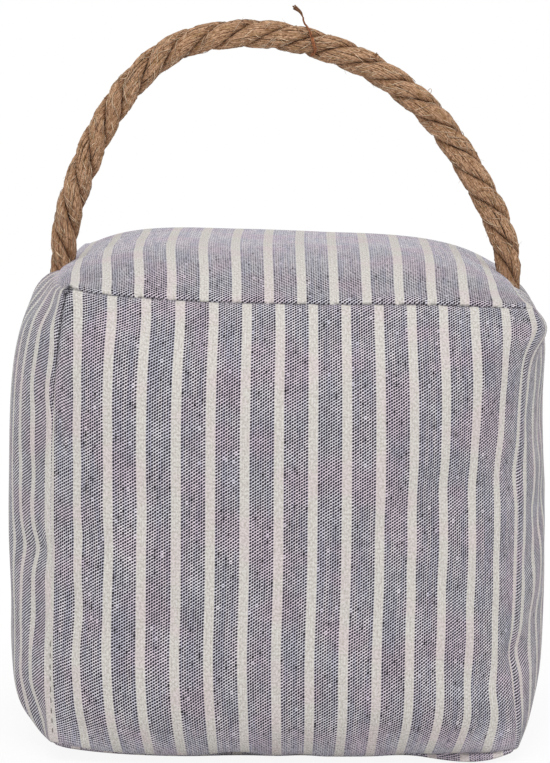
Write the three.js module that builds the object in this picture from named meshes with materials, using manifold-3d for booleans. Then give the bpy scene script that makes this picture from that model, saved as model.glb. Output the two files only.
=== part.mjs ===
// Weighted fabric door stop: a cube-shaped bag sewn from six panels of striped cotton canvas,
// packed tight with a heavy fill, and carried by a three-strand rope handle whose two ends are
// caught in the side seams of the top panel.
//
// Millimetres, +Z up, origin on the floor under the middle of the bag. The front faces -Y.

import * as THREE from 'three';
import { mergeVertices } from 'three/addons/utils/BufferGeometryUtils.js';
import Module from 'manifold-3d';

const wasm = await Module();
wasm.setup();

// Bag: the panels, measured from seam to seam
const panelWidth = 140;
const panelDepth = 140;
const topSeamHeight = 141;
const baseSeamHeight = 1;

// How far the fill pushes the middle of each panel out past its seams
const frontBulge = 14.5;
const backBulge = 14.5;
const leftBulge = 12.0;
const rightBulge = 9.4;
const crownHeight = 13.2;

// The fuller the bag is towards a seam, the flatter the panel and the tighter its turn into
// the seam. The fill settles, so the panels are fullest low down.
const crownFullness = 4.2;
const sideFullness = 5;
const settledFullness = 8;
const tautFullness = 14;

// The base panel turns up to its seams round the edge of the flat resting face
const baseTurn = 11;

// Seams: the stitched line lies in a groove between two panels
const seamHalfWidth = 0.9;
const seamSink = 1.0;

// Printed stripes: cream lines at one pitch, starting at their own offset on each panel
const stripePitch = 9.9;
const stripeWidth = 2.8;
const frontStripeStart = 3.0;
const topStripeStart = 1.2;
const leftStripeStart = 0.4;
const rightStripeStart = 2.4;

// Rope handle: hawser-laid from three strands, left-handed
const ropeDiameter = 8.6;
const ropeLay = 31;
const strandClearance = 0.3;
const handleRise = 76;

// Each rope end is tucked into the bag through its seam, leaning outward as it goes down, and
// rests in a close socket
const tuckDepth = 13;
const tuckLean = 0.14;
const socketClearance = 0.3;

// Mesh density. Rows crowd towards the seams by this share of a full cosine spacing
const seamSteps = 20;
const panelRows = 12;
const rowCrowding = 0.6;
const lineDivisions = 800;
const strandSides = 9;
const stepsPerLay = 13;
const socketSides = 20;
const socketSteps = 8;

// Colours
const groundColour = new THREE.Color('#8a8799');
const stripeColour = new THREE.Color('#ded9ce');
const seamColour = new THREE.Color('#4b4a58');
const juteColour = new THREE.Color('#a07c56');

// The pulls, gathers and bows below are those of a bag of this width, and grow with the panels
const sampleWidth = 140;
const slack = panelWidth / sampleWidth;

// The stuffed cloth pulls its corners out of true: how far each one stands off the plain
// block of panelWidth x panelDepth, to the right, to the back and up. The gather is a further
// pull where three seams meet, which dies away a short way along each of them.
const corners = {
  'left front base': { pull: [2.3, 0, 0], gather: [0, 0, 5] },
  'right front base': { pull: [1.3, 0, 0], gather: [0, 0, 1.5] },
  'left back base': { pull: [1, 0, 0], gather: [0, 0, 3] },
  'right back base': { pull: [0, 0, 0], gather: [0, 0, 3] },
  'left front top': { pull: [3.6, 0, 3], gather: [3.4, 0, 0] },
  'right front top': { pull: [4.2, 0, -2.5], gather: [2.6, 0, 0] },
  'left back top': { pull: [6, 0, 5], gather: [0, 0, 0] },
  'right back top': { pull: [3, 0, -2], gather: [0, 0, 0] },
};
const gatherDecay = 8;

const sideOf = { left: -1, right: 1, front: -1, back: 1 };

function pulledCorner(name) {
  const [side, face, level] = name.split(' ');
  const height = level === 'top' ? topSeamHeight : baseSeamHeight;
  const blockCorner = new THREE.Vector3(
    (sideOf[side] * panelWidth) / 2, (sideOf[face] * panelDepth) / 2, height);
  return blockCorner.addScaledVector(new THREE.Vector3(...corners[name].pull), slack);
}

function corner(name) {
  return pulledCorner(name).addScaledVector(new THREE.Vector3(...corners[name].gather), slack);
}

// Seams: each runs between two corners, and bows by this much at its middle
const seams = [
  { from: 'left front top', to: 'right front top', bow: [0, 0, -2] },
  { from: 'left back top', to: 'right back top', bow: [0, 0, -2] },
  { from: 'left front top', to: 'left back top', bow: [-2.4, 0, -1] },
  { from: 'right front top', to: 'right back top', bow: [0.8, 0, 1.2] },
  { from: 'left front base', to: 'left front top', bow: [-1.2, 0, 0] },
  { from: 'right front base', to: 'right front top', bow: [0.3, 3, 0] },
  { from: 'left back base', to: 'left back top', bow: [-2, 0, 0] },
  { from: 'right back base', to: 'right back top', bow: [1, 0, 0] },
  { from: 'left front base', to: 'right front base', bow: [0, -1, 0.8] },
  { from: 'left back base', to: 'right back base', bow: [0, 1, 0] },
  { from: 'left front base', to: 'left back base', bow: [-1, 0, 0] },
  { from: 'right front base', to: 'right back base', bow: [2, 0, 0] },
];

function seamPoint(from, to, along) {
  const seam = seams.find((s) => (s.from === from && s.to === to) || (s.from === to && s.to === from));
  const fullBow = 4 * along * (1 - along);
  return pulledCorner(from).lerp(pulledCorner(to), along)
    .addScaledVector(new THREE.Vector3(...seam.bow), slack * fullBow)
    .addScaledVector(new THREE.Vector3(...corners[from].gather), slack * (1 - along) ** gatherDecay)
    .addScaledVector(new THREE.Vector3(...corners[to].gather), slack * along ** gatherDecay);
}

// Panels: the corners go round each one anticlockwise as seen from outside. The stripes run
// from the first side of the loop to the third, and fullness is given for each side in turn.
const panels = [
  {
    loop: ['left front base', 'right front base', 'right front top', 'left front top'],
    outward: [0, -1, 0], bulge: frontBulge, width: panelWidth,
    height: topSeamHeight - baseSeamHeight, stripeStart: frontStripeStart,
    fullness: [settledFullness, crownFullness, sideFullness, crownFullness],
  },
  {
    loop: ['right back base', 'left back base', 'left back top', 'right back top'],
    outward: [0, 1, 0], bulge: backBulge, width: panelWidth,
    height: topSeamHeight - baseSeamHeight, stripeStart: frontStripeStart,
    fullness: [settledFullness, crownFullness, sideFullness, crownFullness],
  },
  {
    loop: ['left back base', 'left front base', 'left front top', 'left back top'],
    outward: [-1, 0, 0], bulge: leftBulge, width: panelDepth,
    height: topSeamHeight - baseSeamHeight, stripeStart: leftStripeStart,
    fullness: [settledFullness, sideFullness, settledFullness, sideFullness],
  },
  {
    loop: ['right front base', 'right back base', 'right back top', 'right front top'],
    outward: [1, 0, 0], bulge: rightBulge, width: panelDepth,
    height: topSeamHeight - baseSeamHeight, stripeStart: rightStripeStart,
    fullness: [sideFullness, sideFullness, tautFullness, sideFullness],
  },
  {
    loop: ['left front top', 'right front top', 'right back top', 'left back top'],
    outward: [0, 0, 1], bulge: crownHeight, width: panelWidth, height: panelDepth,
    stripeStart: topStripeStart,
    fullness: [crownFullness, crownFullness, crownFullness, crownFullness],
  },
  {
    loop: ['left back base', 'right back base', 'right front base', 'left front base'],
    outward: [0, 0, -1], resting: true, width: panelWidth, height: panelDepth,
    stripeStart: frontStripeStart,
  },
];

// A surface stretched between the four seams of a panel (a Coons patch)
function stretched(loop, u, v) {
  const [a, b, c, d] = loop;
  const point = seamPoint(a, b, u).multiplyScalar(1 - v);
  point.addScaledVector(seamPoint(d, c, u), v);
  point.addScaledVector(seamPoint(a, d, v), 1 - u);
  point.addScaledVector(seamPoint(b, c, v), u);
  point.addScaledVector(corner(a), -(1 - u) * (1 - v));
  point.addScaledVector(corner(b), -u * (1 - v));
  point.addScaledVector(corner(c), -u * v);
  point.addScaledVector(corner(d), -(1 - u) * v);
  return point;
}

// 0 on a seam and 1 in the middle of the panel
function filled(fraction, startFullness, endFullness) {
  return 1 - Math.abs(2 * fraction - 1) ** (fraction < 0.5 ? startFullness : endFullness);
}

function panelPoint(panel, u, v) {
  const point = stretched(panel.loop, u, v);
  if (panel.resting) {
    const edgeDistance = Math.min(
      u * panel.width, (1 - u) * panel.width, v * panel.height, (1 - v) * panel.height);
    const turned = Math.min(edgeDistance / baseTurn, 1);
    point.z *= (1 - turned) ** 2;
    return point;
  }
  const [first, second, third, fourth] = panel.fullness;
  const push = seamSink + panel.bulge * filled(u, fourth, second) * filled(v, first, third);
  return point.addScaledVector(new THREE.Vector3(...panel.outward), push);
}

// Where the colour changes across a panel, as fractions of its width, with each field's colour
function stripeFields(panel) {
  const inset = seamHalfWidth;
  const fields = [];
  const last = panel.width - inset;
  let at = inset;
  for (let centre = panel.stripeStart; centre - stripeWidth / 2 < last; centre += stripePitch) {
    const start = Math.max(centre - stripeWidth / 2, inset);
    const end = Math.min(centre + stripeWidth / 2, last);
    if (start > at) {
      fields.push({ start: at, end: start, colour: groundColour });
    }
    fields.push({ start, end, colour: stripeColour });
    at = end;
  }
  if (at < last) {
    fields.push({ start: at, end: last, colour: groundColour });
  }
  return fields;
}

// Rows lie closer together near the seams, where the cloth turns most. The resting face is
// flat, so its rows only shape the turn at its edges.
function rowPlaces(panel) {
  const first = seamHalfWidth / panel.height;
  if (panel.resting) {
    const turn = baseTurn / panel.height;
    return [first, turn / 2, turn, 1 - turn, 1 - turn / 2, 1 - first];
  }
  const places = [];
  for (let i = 0; i <= panelRows; i += 1) {
    const eased = (1 - Math.cos((Math.PI * i) / panelRows)) / 2;
    places.push(first + (1 - 2 * first) * THREE.MathUtils.lerp(i / panelRows, eased, rowCrowding));
  }
  return places;
}

// Columns fall on the stripes' edges, and on the resting face also on the line where the
// cloth leaves the floor, unless a stripe's edge is already there
const leastStep = 1e-4;

function columnPlaces(panel) {
  const fields = stripeFields(panel);
  const places = [{ at: fields[0].start / panel.width }];
  for (const field of fields) {
    places.push({ at: field.end / panel.width, colour: field.colour });
  }
  if (!panel.resting) {
    return places;
  }
  const turn = baseTurn / panel.width;
  for (const extra of [turn / 2, turn, 1 - turn, 1 - turn / 2]) {
    const next = places.findIndex((place) => place.at > extra - leastStep);
    if (places[next].at > extra + leastStep) {
      places.splice(next, 0, { at: extra, colour: places[next].colour });
    }
  }
  return places;
}

// Triangles with one colour each, gathered for the whole bag
const cloth = { positions: [], colours: [] };

function addTriangle(a, b, c, colour) {
  for (const p of [a, b, c]) {
    cloth.positions.push(p.x, p.y, p.z);
    cloth.colours.push(colour.r, colour.g, colour.b);
  }
}

// Two closed rings of points, each point with its place round the loop from 0 to 4, are joined
// by a band of triangles that steps along whichever ring is behind
function joinRings(outer, inner, colour) {
  let i = 0;
  let j = 0;
  while (i < outer.length - 1 || j < inner.length - 1) {
    const outerNext = i < outer.length - 1 ? outer[i + 1].at : Infinity;
    const innerNext = j < inner.length - 1 ? inner[j + 1].at : Infinity;
    if (outerNext <= innerNext) {
      addTriangle(outer[i].point, outer[i + 1].point, inner[j].point, colour);
      i += 1;
    } else {
      addTriangle(outer[i].point, inner[j + 1].point, inner[j].point, colour);
      j += 1;
    }
  }
}

function seamRing(panel) {
  const ring = [];
  for (let side = 0; side < 4; side += 1) {
    const from = panel.loop[side];
    const to = panel.loop[(side + 1) % 4];
    for (let i = 0; i < seamSteps; i += 1) {
      ring.push({ at: side + i / seamSteps, point: seamPoint(from, to, i / seamSteps) });
    }
  }
  ring.push({ at: 4, point: ring[0].point });
  return ring;
}

function gridRing(columns, rows, grid) {
  const lastColumn = columns.length - 1;
  const lastRow = rows.length - 1;
  const ring = [];
  columns.slice(0, -1).forEach((c, i) => ring.push({ at: c.at, point: grid[0][i] }));
  rows.slice(0, -1).forEach((v, j) => ring.push({ at: 1 + v, point: grid[j][lastColumn] }));
  for (let i = lastColumn; i > 0; i -= 1) {
    ring.push({ at: 3 - columns[i].at, point: grid[lastRow][i] });
  }
  for (let j = lastRow; j > 0; j -= 1) {
    ring.push({ at: 4 - rows[j], point: grid[j][0] });
  }
  for (const [index, start] of [[0, 0], [lastColumn, 1], [lastColumn + lastRow, 2],
    [2 * lastColumn + lastRow, 3]]) {
    ring[index].at = start;
  }
  ring.push({ at: 4, point: grid[0][0] });
  return ring;
}

function addPanel(panel) {
  const columns = columnPlaces(panel);
  const rows = rowPlaces(panel);
  const grid = rows.map((v) => columns.map((column) => panelPoint(panel, column.at, v)));
  for (let j = 0; j < rows.length - 1; j += 1) {
    for (let i = 0; i < columns.length - 1; i += 1) {
      const { colour } = columns[i + 1];
      addTriangle(grid[j][i], grid[j][i + 1], grid[j + 1][i + 1], colour);
      addTriangle(grid[j][i], grid[j + 1][i + 1], grid[j + 1][i], colour);
    }
  }
  joinRings(seamRing(panel), gridRing(columns, rows, grid), seamColour);
}

// Handle centreline: each foot stands on the side seam of the top panel, half way back. The
// profile runs from foot to foot as a share of the span and of the rise, as the rope hangs.
const leftFoot = seamPoint('left front top', 'left back top', 0.5);
const rightFoot = seamPoint('right front top', 'right back top', 0.5);
const archProfile = [
  [0.01, 0.2], [0.055, 0.46], [0.1, 0.63], [0.165, 0.8], [0.26, 0.94], [0.395, 1], [0.53, 0.98],
  [0.66, 0.9], [0.785, 0.75], [0.865, 0.585], [0.92, 0.42], [0.965, 0.26], [0.99, 0.1],
];
const leftTail = new THREE.Vector3(-tuckLean, 0, -1).normalize();
const rightTail = new THREE.Vector3(tuckLean, 0, -1).normalize();

function archPoint([across, up]) {
  const point = leftFoot.clone().lerp(rightFoot, across);
  point.z += up * handleRise;
  return point;
}

const leftEnd = leftFoot.clone().addScaledVector(leftTail, tuckDepth);
const rightEnd = rightFoot.clone().addScaledVector(rightTail, tuckDepth);
const handleLine = new THREE.CatmullRomCurve3([
  leftEnd,
  leftFoot.clone().addScaledVector(leftTail, tuckDepth / 2),
  leftFoot,
  ...archProfile.map(archPoint),
  rightFoot,
  rightFoot.clone().addScaledVector(rightTail, tuckDepth / 2),
  rightEnd,
], false, 'centripetal');
handleLine.arcLengthDivisions = lineDivisions;
const handleLength = handleLine.getLength();

// Three strands wound at this radius round the centreline come closest to each other along the
// rope rather than across it, which the lay decides
function strandSpacing(radius) {
  const turn = (2 * Math.PI) / ropeLay;
  const lean = 3 * radius ** 4 * turn ** 2;
  return Math.sqrt(3 * radius ** 2 - lean / (2 * (2 - radius ** 2 * turn ** 2)));
}

function windingRadius() {
  let radius = ropeDiameter / 4;
  for (let i = 0; i < 30; i += 1) {
    const strandRadius = (strandSpacing(radius) - strandClearance) / 2;
    radius = (radius + ropeDiameter / 2 - strandRadius) / 2;
  }
  return radius;
}

const strandCircle = windingRadius();
const strandRadius = ropeDiameter / 2 - strandCircle;

// A left-handed helix along the handle's centreline
class StrandLine extends THREE.Curve {
  constructor(phase) {
    super();
    this.phase = phase;
    this.arcLengthDivisions = lineDivisions;
  }

  getPoint(along, target = new THREE.Vector3()) {
    const middle = handleLine.getPointAt(along);
    const ahead = handleLine.getTangentAt(along);
    const back = new THREE.Vector3(0, 1, 0);
    const outside = new THREE.Vector3().crossVectors(ahead, back);
    const angle = this.phase - (2 * Math.PI * along * handleLength) / ropeLay;
    return target.copy(middle)
      .addScaledVector(back, strandCircle * Math.cos(angle))
      .addScaledVector(outside, strandCircle * Math.sin(angle));
  }
}

function disc(radius, sides) {
  const shape = new THREE.Shape();
  for (let i = 0; i < sides; i += 1) {
    const angle = (2 * Math.PI * i) / sides;
    const x = radius * Math.cos(angle);
    const y = radius * Math.sin(angle);
    if (i === 0) {
      shape.moveTo(x, y);
    } else {
      shape.lineTo(x, y);
    }
  }
  shape.closePath();
  return shape;
}

function strandGeometry(phase) {
  return new THREE.ExtrudeGeometry(disc(strandRadius, strandSides), {
    steps: Math.round((stepsPerLay * handleLength) / ropeLay),
    extrudePath: new StrandLine(phase),
    bevelEnabled: false,
  });
}

// Each strand is cut square across its own slant, so its edge stands past the end of the line
const strandSlant = Math.atan((2 * Math.PI * strandCircle) / ropeLay);
const endOverhang = strandRadius * Math.sin(strandSlant);

// The socket follows the rope from past its end up through the cloth, with clearance round it
function socketGeometry(end, tail) {
  const line = [end.clone().addScaledVector(tail, endOverhang + socketClearance)];
  const reach = tuckDepth + crownHeight + leftBulge;
  for (let i = 1; i <= socketSteps; i += 1) {
    const travelled = (i * reach) / (socketSteps * handleLength);
    line.push(handleLine.getPointAt(tail === leftTail ? travelled : 1 - travelled));
  }
  return new THREE.ExtrudeGeometry(disc(ropeDiameter / 2 + socketClearance, socketSides), {
    steps: 2 * socketSteps,
    extrudePath: new THREE.CatmullRomCurve3(line, false, 'centripetal'),
    bevelEnabled: false,
  });
}

function solidFrom(geometry) {
  const plain = geometry.clone();
  plain.deleteAttribute('normal');
  plain.deleteAttribute('uv');
  if (!plain.getAttribute('color')) {
    const count = plain.getAttribute('position').count;
    const shade = Array.from({ length: count }, () => seamColour.toArray()).flat();
    plain.setAttribute('color', new THREE.Float32BufferAttribute(shade, 3));
  }
  const joined = mergeVertices(plain);
  const place = joined.getAttribute('position');
  const colour = joined.getAttribute('color');
  const vertProperties = new Float32Array(place.count * 6);
  for (let i = 0; i < place.count; i += 1) {
    vertProperties.set([place.getX(i), place.getY(i), place.getZ(i),
      colour.getX(i), colour.getY(i), colour.getZ(i)], i * 6);
  }
  const mesh = new wasm.Mesh({
    numProp: 6,
    vertProperties,
    triVerts: new Uint32Array(joined.getIndex().array),
  });
  mesh.merge();
  return new wasm.Manifold(mesh);
}

function geometryFrom(solid) {
  const mesh = solid.getMesh();
  const count = mesh.vertProperties.length / mesh.numProp;
  const place = new Float32Array(count * 3);
  const colour = new Float32Array(count * 3);
  for (let i = 0; i < count; i += 1) {
    const start = i * mesh.numProp;
    place.set(mesh.vertProperties.slice(start, start + 3), i * 3);
    colour.set(mesh.vertProperties.slice(start + 3, start + 6), i * 3);
  }
  const geometry = new THREE.BufferGeometry();
  geometry.setAttribute('position', new THREE.BufferAttribute(place, 3));
  geometry.setAttribute('color', new THREE.BufferAttribute(colour, 3));
  geometry.setIndex(new THREE.BufferAttribute(mesh.triVerts, 1));
  geometry.computeVertexNormals();
  return geometry;
}

function bagGeometry() {
  panels.forEach(addPanel);
  const skin = new THREE.BufferGeometry();
  skin.setAttribute('position', new THREE.Float32BufferAttribute(cloth.positions, 3));
  skin.setAttribute('color', new THREE.Float32BufferAttribute(cloth.colours, 3));
  const bag = solidFrom(skin)
    .subtract(solidFrom(socketGeometry(leftEnd, leftTail)))
    .subtract(solidFrom(socketGeometry(rightEnd, rightTail)));
  return geometryFrom(bag);
}

const doorStop = new THREE.Group();

const bag = new THREE.Mesh(bagGeometry(), new THREE.MeshStandardMaterial({
  color: 0xffffff, vertexColors: true, roughness: 0.95, metalness: 0, flatShading: true,
}));
bag.name = 'weighted_bag';
doorStop.add(bag);

for (let i = 0; i < 3; i += 1) {
  const strand = new THREE.Mesh(strandGeometry((2 * Math.PI * i) / 3), new THREE.MeshStandardMaterial({
    color: juteColour, roughness: 0.9, metalness: 0,
  }));
  strand.name = `rope_strand_${i + 1}`;
  doorStop.add(strand);
}

// The corners are not pulled alike, so the whole is moved to stand midway over the origin
const middle = new THREE.Box3().setFromObject(bag).getCenter(new THREE.Vector3());
doorStop.position.set(-middle.x, -middle.y, 0);

export default doorStop;
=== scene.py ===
import math

import bpy
import numpy as np
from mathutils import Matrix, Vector


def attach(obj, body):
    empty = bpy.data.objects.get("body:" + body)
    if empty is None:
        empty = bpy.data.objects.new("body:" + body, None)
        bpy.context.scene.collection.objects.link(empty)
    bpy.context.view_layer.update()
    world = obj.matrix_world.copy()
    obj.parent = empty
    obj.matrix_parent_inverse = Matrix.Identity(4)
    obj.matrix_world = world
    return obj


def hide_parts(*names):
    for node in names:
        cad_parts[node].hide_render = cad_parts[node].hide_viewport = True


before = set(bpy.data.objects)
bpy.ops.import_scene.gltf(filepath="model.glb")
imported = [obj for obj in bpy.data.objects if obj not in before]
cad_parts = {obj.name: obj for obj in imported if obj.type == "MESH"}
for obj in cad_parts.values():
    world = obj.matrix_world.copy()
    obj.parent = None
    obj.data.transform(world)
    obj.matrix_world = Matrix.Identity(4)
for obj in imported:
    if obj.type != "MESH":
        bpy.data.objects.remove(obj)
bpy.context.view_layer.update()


# The camera
# It stands in front of the bag a little above its middle, far off with a long lens, so the
# panels hardly narrow towards the back.
PHOTO_HEIGHT = 763
LENS_PIXELS = 4417
CAMERA_DISTANCE = 1.400
CAMERA_ELEVATION = math.radians(6.5)
SIGHT = Vector((-0.00053, -0.00049, 0.1084))

camera = bpy.data.cameras.new("camera")
camera.sensor_width = 36
camera.lens = camera.sensor_width * LENS_PIXELS / PHOTO_HEIGHT
camera_object = bpy.data.objects.new("camera", camera)
back_up = Vector((0, -math.cos(CAMERA_ELEVATION), math.sin(CAMERA_ELEVATION)))
camera_object.location = SIGHT + back_up * CAMERA_DISTANCE
camera_object.rotation_euler = (math.pi / 2 - CAMERA_ELEVATION, 0, 0)
bpy.context.scene.collection.objects.link(camera_object)
bpy.context.scene.camera = camera_object


# The bag
# Six panels of striped cotton canvas are sewn edge to edge, turned right side out and packed
# hard, so each panel swells between its seams and the seams lie in narrow valleys.
MM = 0.001
SHIFT = np.array([-0.059, -0.490, 0.0])
PANEL_WIDTH = 140
TOP_SEAM = 141
BASE_SEAM = 1
SEAM_SINK = 1.0
# Each corner's pull off the plain block, and the gather where its three seams meet
CORNERS = {
    "left front base": ((2.3, 0, 0), (0, 0, 5)),
    "right front base": ((1.3, 0, 0), (0, 0, 1.5)),
    "left back base": ((1, 0, 0), (0, 0, 3)),
    "right back base": ((0, 0, 0), (0, 0, 3)),
    "left front top": ((3.6, 0, 3), (3.4, 0, 0)),
    "right front top": ((4.2, 0, -2.5), (2.6, 0, 0)),
    "left back top": ((6, 0, 5), (0, 0, 0)),
    "right back top": ((3, 0, -2), (0, 0, 0)),
}
GATHER_DECAY = 8
# How far the middle of each seam bows off the straight line between its corners
SEAM_BOWS = {
    ("left front top", "right front top"): (0, 0, -2),
    ("left back top", "right back top"): (0, 0, -2),
    ("left front top", "left back top"): (-2.4, 0, -1),
    ("right front top", "right back top"): (0.8, 0, 1.2),
    ("left front base", "left front top"): (-1.2, 0, 0),
    ("right front base", "right front top"): (0.3, 3, 0),
    ("left back base", "left back top"): (-2, 0, 0),
    ("right back base", "right back top"): (1, 0, 0),
    ("left front base", "right front base"): (0, -1, 0.8),
    ("left back base", "right back base"): (0, 1, 0),
    ("left front base", "left back base"): (-1, 0, 0),
    ("right front base", "right back base"): (2, 0, 0),
}
# Each panel's corners, the way it faces, how far it swells, and how full it is by each side
PANELS = {
    "front": (("left front base", "right front base", "right front top", "left front top"),
              (0, -1, 0), 14.5, (8, 4.2, 5, 4.2)),
    "back": (("right back base", "left back base", "left back top", "right back top"),
             (0, 1, 0), 14.5, (8, 4.2, 5, 4.2)),
    "left": (("left back base", "left front base", "left front top", "left back top"),
             (-1, 0, 0), 12.0, (8, 2.9, 5.5, 5)),
    "right": (("right front base", "right back base", "right back top", "right front top"),
              (1, 0, 0), 9.4, (5, 5, 14, 4)),
    "top": (("left front top", "right front top", "right back top", "left back top"),
            (0, 0, 1), 13.2, (4.2, 4.2, 4.2, 4.2)),
    "base": (("left back base", "right back base", "right front base", "left front base"),
             (0, 0, -1), 0, (4.2, 4.2, 4.2, 4.2)),
}
# The base cloth turns under this far in from its side and back seams, and from its front seam
BASE_TURN = 11
FRONT_TURN = 48
# The cloth grid: its cells along a panel, and how close to a seam its next line runs
CELLS = 56
SEAM_ROW = 0.9 / PANEL_WIDTH


def pulled_corner(name):
    """Where the three seams at a corner would meet if they were not gathered there."""
    side, face, level = name.split()
    half = PANEL_WIDTH / 2
    block = [half if side == "right" else -half, half if face == "back" else -half,
             TOP_SEAM if level == "top" else BASE_SEAM]
    return np.array(block, float) + CORNERS[name][0]


def gather(name):
    return np.array(CORNERS[name][1], float)


def corner(name):
    return pulled_corner(name) + gather(name)


def seam_points(start, end, along):
    """Points on a seam at the given shares of its length, in millimetres."""
    bow = SEAM_BOWS.get((start, end), SEAM_BOWS.get((end, start)))
    along = np.asarray(along, float)[:, None]
    points = pulled_corner(start) * (1 - along) + pulled_corner(end) * along
    points += np.array(bow, float) * 4 * along * (1 - along)
    return points + gather(start) * (1 - along) ** GATHER_DECAY + gather(end) * along ** GATHER_DECAY


def filled(share, first, last):
    """0 on the seams at both ends and 1 in the middle of the panel."""
    return 1 - np.abs(2 * share - 1) ** np.where(share < 0.5, first, last)


def panel_grid(name, across, along):
    """The panel stretched between its four seams and swollen by the fill, in millimetres."""
    (a, b, c, d), outward, bulge, fullness = PANELS[name]
    u = np.asarray(across)[None, :, None]
    v = np.asarray(along)[:, None, None]
    low = seam_points(a, b, across)[None, :, :]
    high = seam_points(d, c, across)[None, :, :]
    left = seam_points(a, d, along)[:, None, :]
    right = seam_points(b, c, along)[:, None, :]
    points = low * (1 - v) + high * v + left * (1 - u) + right * u
    points -= corner(a) * (1 - u) * (1 - v) + corner(b) * u * (1 - v)
    points -= corner(c) * u * v + corner(d) * (1 - u) * v
    if name == "base":
        from_side = np.minimum(np.minimum(u, 1 - u), v) * PANEL_WIDTH / BASE_TURN
        from_front = (1 - v) * PANEL_WIDTH / FRONT_TURN
        points[:, :, 2:] *= 1 - np.clip(np.minimum(from_side, from_front), 0, 1)
        return points
    inside = np.minimum(np.minimum(u, 1 - u), np.minimum(v, 1 - v)) > 0
    swell = filled(u, fullness[3], fullness[1]) * filled(v, fullness[0], fullness[2])
    return points + np.array(outward, float) * (SEAM_SINK + bulge * swell) * inside


# Lines of the cloth grid: one close to each seam, the rest even
places = np.concatenate([[0], np.linspace(SEAM_ROW, 1 - SEAM_ROW, CELLS - 1), [1]])


def lattice_key(name, i, j):
    """Each grid point has a place on a cube of CELLS steps, so panels share their seam points."""
    n = CELLS
    return {
        "front": (i, 0, j), "back": (n - i, n, j), "left": (0, n - i, j),
        "right": (n, i, j), "top": (i, j, n), "base": (i, n - j, 0),
    }[name]


# Stripes of the cloth. On the map the panels lie side by side, a band of the cloth apart.
STRIPE_PITCH = 9.9
STRIPE_WIDTH = 2.8
FIRST_STRIPE = 3.0
PANEL_BAND = STRIPE_PITCH * 40
PANEL_RISE = 170
MAP_TO_MM = 100
# Where the stuffed cloth draws its stripes sideways: how far up the panel and how far across
# it, each with its spread as a share of the panel, and the move in millimetres
FRONT_DRIFTS = (
    ((0.85, 0.15), (0.94, 0.05), -1.6),
    ((0.9, 0.08), (1.0, 0.03), -1.0),
    ((0.155, 0.04), (0.93, 0.05), 1.4),
    ((0.0, 0.07), (0.9, 0.12), 2.0),
)
LEFT_RIPPLES = ((0.934, 0.03, 1.5), (0.79, 0.04, 1.65))
LEFT_LOW_DRIFT = ((0.18, 0.1), (1.0, 0.05), -1.2)
RIGHT_DRIFT = ((0.96, 0.06), (0.0, 0.2), -3.5)


def walked(points, axis):
    """Distance along each line of a grid, and the same as a share of the whole line."""
    steps = np.linalg.norm(np.diff(points, axis=axis), axis=2)
    start = np.zeros_like(steps[:1] if axis == 0 else steps[:, :1])
    distance = np.concatenate([start, np.cumsum(steps, axis=axis)], axis=axis)
    return distance, distance / (distance[-1:] if axis == 0 else distance[:, -1:])


def drift(v, share, up, over, move):
    """The sideways move of the stripes round one place, dying away over its spreads."""
    return move * np.exp(-((v - up[0]) / up[1]) ** 2 - ((share - over[0]) / over[1]) ** 2)


def front_stripes(share, v):
    """The front's stripes: squeezed at the left, spread at the right and drawn up to the top."""
    squeezed = (1 - share) * (3.6 * v ** 4 - 7.6)
    spread = 4.2 * np.exp(-(1 - share) / 0.06) * np.minimum(1, v / 0.25)
    even = squeezed + share * 139 + spread - 3.2 * share * (1 - share) - FIRST_STRIPE
    drawn_up = v ** 12 * (2.9 * (1 - share) + 0.7) - 0.75 * np.minimum(1, 5 * share * (1 - share))
    low = 0.5 + 0.1 * np.exp(-share / 0.1) - 1.2 * np.exp(-(1 - share) / 0.1)
    low = low * np.exp(-((v - 0.25) / 0.12) ** 2)
    return even + drawn_up + low + sum(drift(v, share, *place) for place in FRONT_DRIFTS)


def cloth_across(name, points, along):
    """How far across the stripes each grid point lies on its cut panel, in millimetres. A stripe
    is centred wherever this is a whole number of pitches."""
    share = walked(points, 1)[1]
    v = np.broadcast_to(np.asarray(along)[:, None], share.shape)
    if name == "front":
        return front_stripes(share, v)
    if name == "top":
        leaned = 6.0 * (1 - np.exp(-v / 0.13))
        return (1 - share) * (0.6 - leaned) + share * 142.4 - FIRST_STRIPE
    if name == "left":
        ripple = sum(move * np.exp(-((v - up) / spread) ** 2) for up, spread, move in LEFT_RIPPLES)
        ripple += drift(v, share, *LEFT_LOW_DRIFT)
        return 1.5 + 2.5 * v ** 6 - 142 * (1 - share) + ripple * np.exp(-(1 - share) / 0.12)
    if name == "right":
        return -4.5 + 142 * share + drift(v, share, *RIGHT_DRIFT)
    return 3.0 + PANEL_WIDTH * share


vertices = {}
vertex_points = []
panel_vertices = {}
cloth_places = {}
for panel_index, panel in enumerate(PANELS):
    grid = panel_grid(panel, places, places)
    cloth_places[panel] = cloth_across(panel, grid, places) + PANEL_BAND * panel_index
    index = np.zeros((CELLS + 1, CELLS + 1), int)
    for j in range(CELLS + 1):
        for i in range(CELLS + 1):
            key = lattice_key(panel, i, j)
            if key not in vertices:
                vertices[key] = len(vertex_points)
                vertex_points.append(grid[j, i])
            index[j, i] = vertices[key]
    panel_vertices[panel] = index

shape = np.array(vertex_points) + SHIFT
keys = np.array(sorted(vertices, key=vertices.get))
on_left, on_front, on_base = (keys == 0).T
on_right, _, on_top = (keys == CELLS).T
seams_here = ((keys == 0) | (keys == CELLS)).sum(axis=1)
on_seam = seams_here >= 2


def near(points, middle, spread):
    """1 at the middle, and dying away over the spread, in millimetres."""
    return np.exp(-(((points - np.array(middle)) / np.array(spread)) ** 2).sum(axis=1))


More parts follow.
